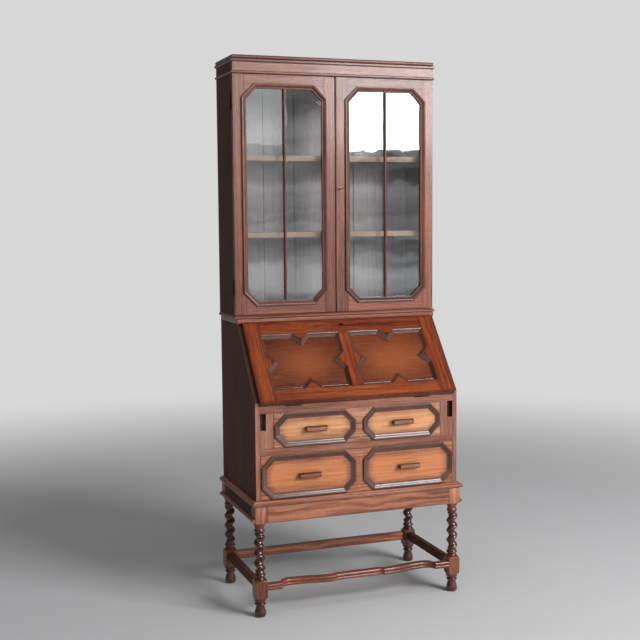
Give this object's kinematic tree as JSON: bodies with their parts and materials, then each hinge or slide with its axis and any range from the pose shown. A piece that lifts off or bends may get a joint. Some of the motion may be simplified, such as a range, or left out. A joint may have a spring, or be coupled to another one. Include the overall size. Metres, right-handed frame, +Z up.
{
  "type": "secretary desk",
  "caption": "Bureau bookcase: glazed two-door case over a slant-front desk with two long drawers, on a stand with barley-twist legs and a serpentine stretcher.",
  "frame": {"origin": "on the floor, in the middle of the whole piece's box", "axes": "+X to the right seen from the front, +Y towards the back, +Z up"},
  "size_m": [0.823, 0.462, 1.9996],
  "materials": {
    "oak_dark": "waxed, satin",
    "oak_frame": "waxed, satin",
    "oak_red": "waxed, satin",
    "oak_honey": "waxed, satin",
    "oak_pale": "unpolished",
    "glass": "clear",
    "brass": "aged",
    "iron": "dull"
  },
  "bodies": {
    "root": {"leg_front_left": "oak_dark", "leg_front_right": "oak_dark", "leg_back_left": "oak_dark", "leg_back_right": "oak_dark", "stand_rail_front": "oak_frame", "stand_rail_back": "oak_frame", "stand_rails_side": "oak_dark", "stand_mouldings": "oak_frame", "stretcher_front": "oak_red", "stretcher_back": "oak_red", "stretchers_side": "oak_dark", "bureau_side_left": "oak_dark", "bureau_side_right": "oak_dark", "bureau_bottom": "oak_pale", "bureau_top": "oak_red", "bureau_back": "oak_pale", "writing_bed": "oak_frame", "bed_rail": "oak_frame", "front_stiles": "oak_frame", "drawer_rail": "oak_frame", "drawer_runners": "oak_pale", "pigeonholes": "oak_pale", "fall_hinges_fixed": "brass", "case_side_left": "oak_dark", "case_side_right": "oak_dark", "case_bottom": "oak_frame", "case_back": "oak_pale", "case_top": "oak_frame", "shelf_upper": "oak_pale", "shelf_lower": "oak_pale", "shelf_battens": "oak_frame", "cornice_frieze": "oak_frame", "cornice_mouldings": "oak_frame", "case_base_moulding": "oak_frame", "door_hinges_fixed": "brass"},
    "fall": {"fall_frame": "oak_red", "fall_panels": "oak_honey", "fall_mouldings": "oak_dark", "fall_lock": "brass", "fall_hinges": "brass"},
    "left_loper": {"loper_left": "oak_frame"},
    "right_loper": {"loper_right": "oak_frame"},
    "upper_drawer": {"upper_drawer_front": "oak_honey", "upper_drawer_box": "oak_pale", "upper_drawer_mouldings": "oak_dark", "upper_drawer_pulls": "oak_dark"},
    "lower_drawer": {"lower_drawer_front": "oak_honey", "lower_drawer_box": "oak_pale", "lower_drawer_mouldings": "oak_dark", "lower_drawer_pulls": "oak_dark"},
    "left_door": {"door_left_frame": "oak_frame", "door_left_moulding": "oak_dark", "door_left_glass": "glass", "door_left_hinges": "brass"},
    "right_door": {"door_right_frame": "oak_frame", "door_right_moulding": "oak_dark", "door_right_glass": "glass", "door_right_hinges": "brass", "door_lock": "brass"},
    "key": {"door_key": "iron"}
  },
  "joints": [
    {"name": "fall_hinge", "type": "hinge", "parent": "root", "child": "fall", "pos_m": [0, -0.2076, 0.7566], "axis": [1, 0, 0], "range_deg": [0, 129]},
    {"name": "left_loper_slide", "type": "slide", "parent": "root", "child": "left_loper", "axis": [0, -1, 0], "range_m": [0, 0.25]},
    {"name": "right_loper_slide", "type": "slide", "parent": "root", "child": "right_loper", "axis": [0, -1, 0], "range_m": [0, 0.25]},
    {"name": "upper_drawer_slide", "type": "slide", "parent": "root", "child": "upper_drawer", "axis": [0, -1, 0], "range_m": [0, 0.28]},
    {"name": "lower_drawer_slide", "type": "slide", "parent": "root", "child": "lower_drawer", "axis": [0, -1, 0], "range_m": [0, 0.28]},
    {"name": "left_door_hinge", "type": "hinge", "parent": "root", "child": "left_door", "pos_m": [-0.3965, 0.0305, 1.497], "axis": [0, 0, -1], "range_deg": [0, 110]},
    {"name": "right_door_hinge", "type": "hinge", "parent": "root", "child": "right_door", "pos_m": [0.3965, 0.0305, 1.497], "axis": [0, 0, 1], "range_deg": [0, 110]},
    {"name": "key_turn", "type": "hinge", "parent": "right_door", "child": "key", "pos_m": [0.0165, 0.009, 1.5216], "axis": [0, -1, 0], "range_deg": [-90, 90]}
  ],
  "couplings": [
    {"joint": "left_loper_slide", "follows": "fall_hinge", "m_per_rad": 0.111},
    {"joint": "right_loper_slide", "follows": "fall_hinge", "m_per_rad": 0.111}
  ]
}
